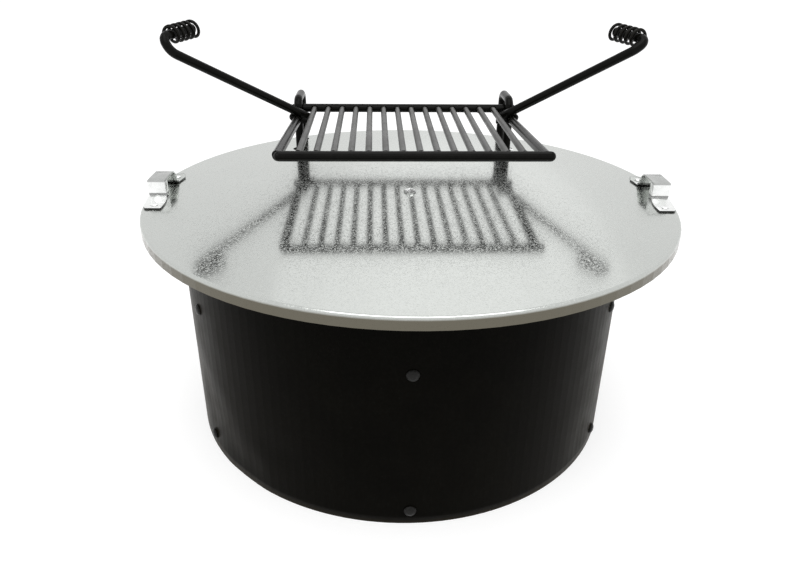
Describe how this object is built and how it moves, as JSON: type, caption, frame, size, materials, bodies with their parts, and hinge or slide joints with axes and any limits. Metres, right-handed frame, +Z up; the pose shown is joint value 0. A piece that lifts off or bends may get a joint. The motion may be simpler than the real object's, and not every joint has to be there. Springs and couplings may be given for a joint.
{
  "type": "charcoal grill",
  "caption": "Free-standing round steel fire drum with a flat galvanised lid and a raised rod cooking grate that lifts, lowers and tips by coil-wound handles.",
  "frame": {"origin": "on the floor, under the middle of the lid", "axes": "+Z up; -Y is the cook's side, where the grate's front bar is; +X the cook's right"},
  "size_m": [1, 1, 0.7261],
  "materials": {
    "black_paint": "satin black heat-resistant paint",
    "bolt_black": "satin black paint",
    "coil_black": "satin black wire",
    "galvanised_sheet": "galvanised, faint spangle",
    "zinc_strap": "bright zinc",
    "zinc_bolt": "bright zinc"
  },
  "bodies": {
    "drum": {"outer_shell": "black_paint", "inner_liner": "black_paint", "rim_ring": "black_paint", "spacer_bar_1": "black_paint", "spacer_bar_2": "black_paint", "spacer_bar_3": "black_paint", "spacer_bar_4": "black_paint", "spacer_bar_5": "black_paint", "spacer_bar_6": "black_paint", "drum_bolt_01": "bolt_black", "drum_bolt_02": "bolt_black", "drum_bolt_03": "bolt_black", "drum_bolt_04": "bolt_black", "drum_bolt_05": "bolt_black", "drum_bolt_06": "bolt_black", "drum_bolt_07": "bolt_black", "drum_bolt_08": "bolt_black", "drum_bolt_09": "bolt_black", "drum_bolt_10": "bolt_black", "drum_bolt_11": "bolt_black", "drum_bolt_12": "bolt_black", "upright_socket_left": "black_paint", "upright_socket_right": "black_paint"},
    "lid": {"lid": "galvanised_sheet", "lid_bolt": "zinc_bolt", "handle_left": "zinc_strap", "handle_right": "zinc_strap", "handle_bolt_left_1": "zinc_bolt", "handle_bolt_left_2": "zinc_bolt", "handle_bolt_right_1": "zinc_bolt", "handle_bolt_right_2": "zinc_bolt"},
    "uprights": {"upright_left": "black_paint", "upright_right": "black_paint"},
    "carriage": {"rear_bar": "black_paint"},
    "grate": {"front_bar": "black_paint", "side_bar_left": "black_paint", "side_bar_right": "black_paint", "grate_bar_01": "black_paint", "grate_bar_02": "black_paint", "grate_bar_03": "black_paint", "grate_bar_04": "black_paint", "grate_bar_05": "black_paint", "grate_bar_06": "black_paint", "grate_bar_07": "black_paint", "grate_bar_08": "black_paint", "grate_bar_09": "black_paint", "grate_bar_10": "black_paint", "grate_bar_11": "black_paint", "grate_bar_12": "black_paint", "grate_bar_13": "black_paint", "grate_bar_14": "black_paint", "arm_left": "black_paint", "arm_right": "black_paint", "lug_left": "black_paint", "lug_right": "black_paint", "coil_grip_left": "coil_black", "coil_grip_right": "coil_black"}
  },
  "joints": [
    {"name": "lid_lift", "type": "slide", "parent": "drum", "child": "lid", "axis": [0, 0, 1], "range_m": [0, 0.02]},
    {"name": "uprights_lift", "type": "slide", "parent": "drum", "child": "uprights", "axis": [0, 0, 1], "range_m": [0, 0.16]},
    {"name": "grate_height", "type": "slide", "parent": "uprights", "child": "carriage", "axis": [0, 0, 1], "range_m": [-0.04, 0]},
    {"name": "grate_tilt", "type": "hinge", "parent": "carriage", "child": "grate", "pos_m": [0, 0.33334, 0.529], "axis": [-1, 0, 0], "range_deg": [0, 30]}
  ]
}
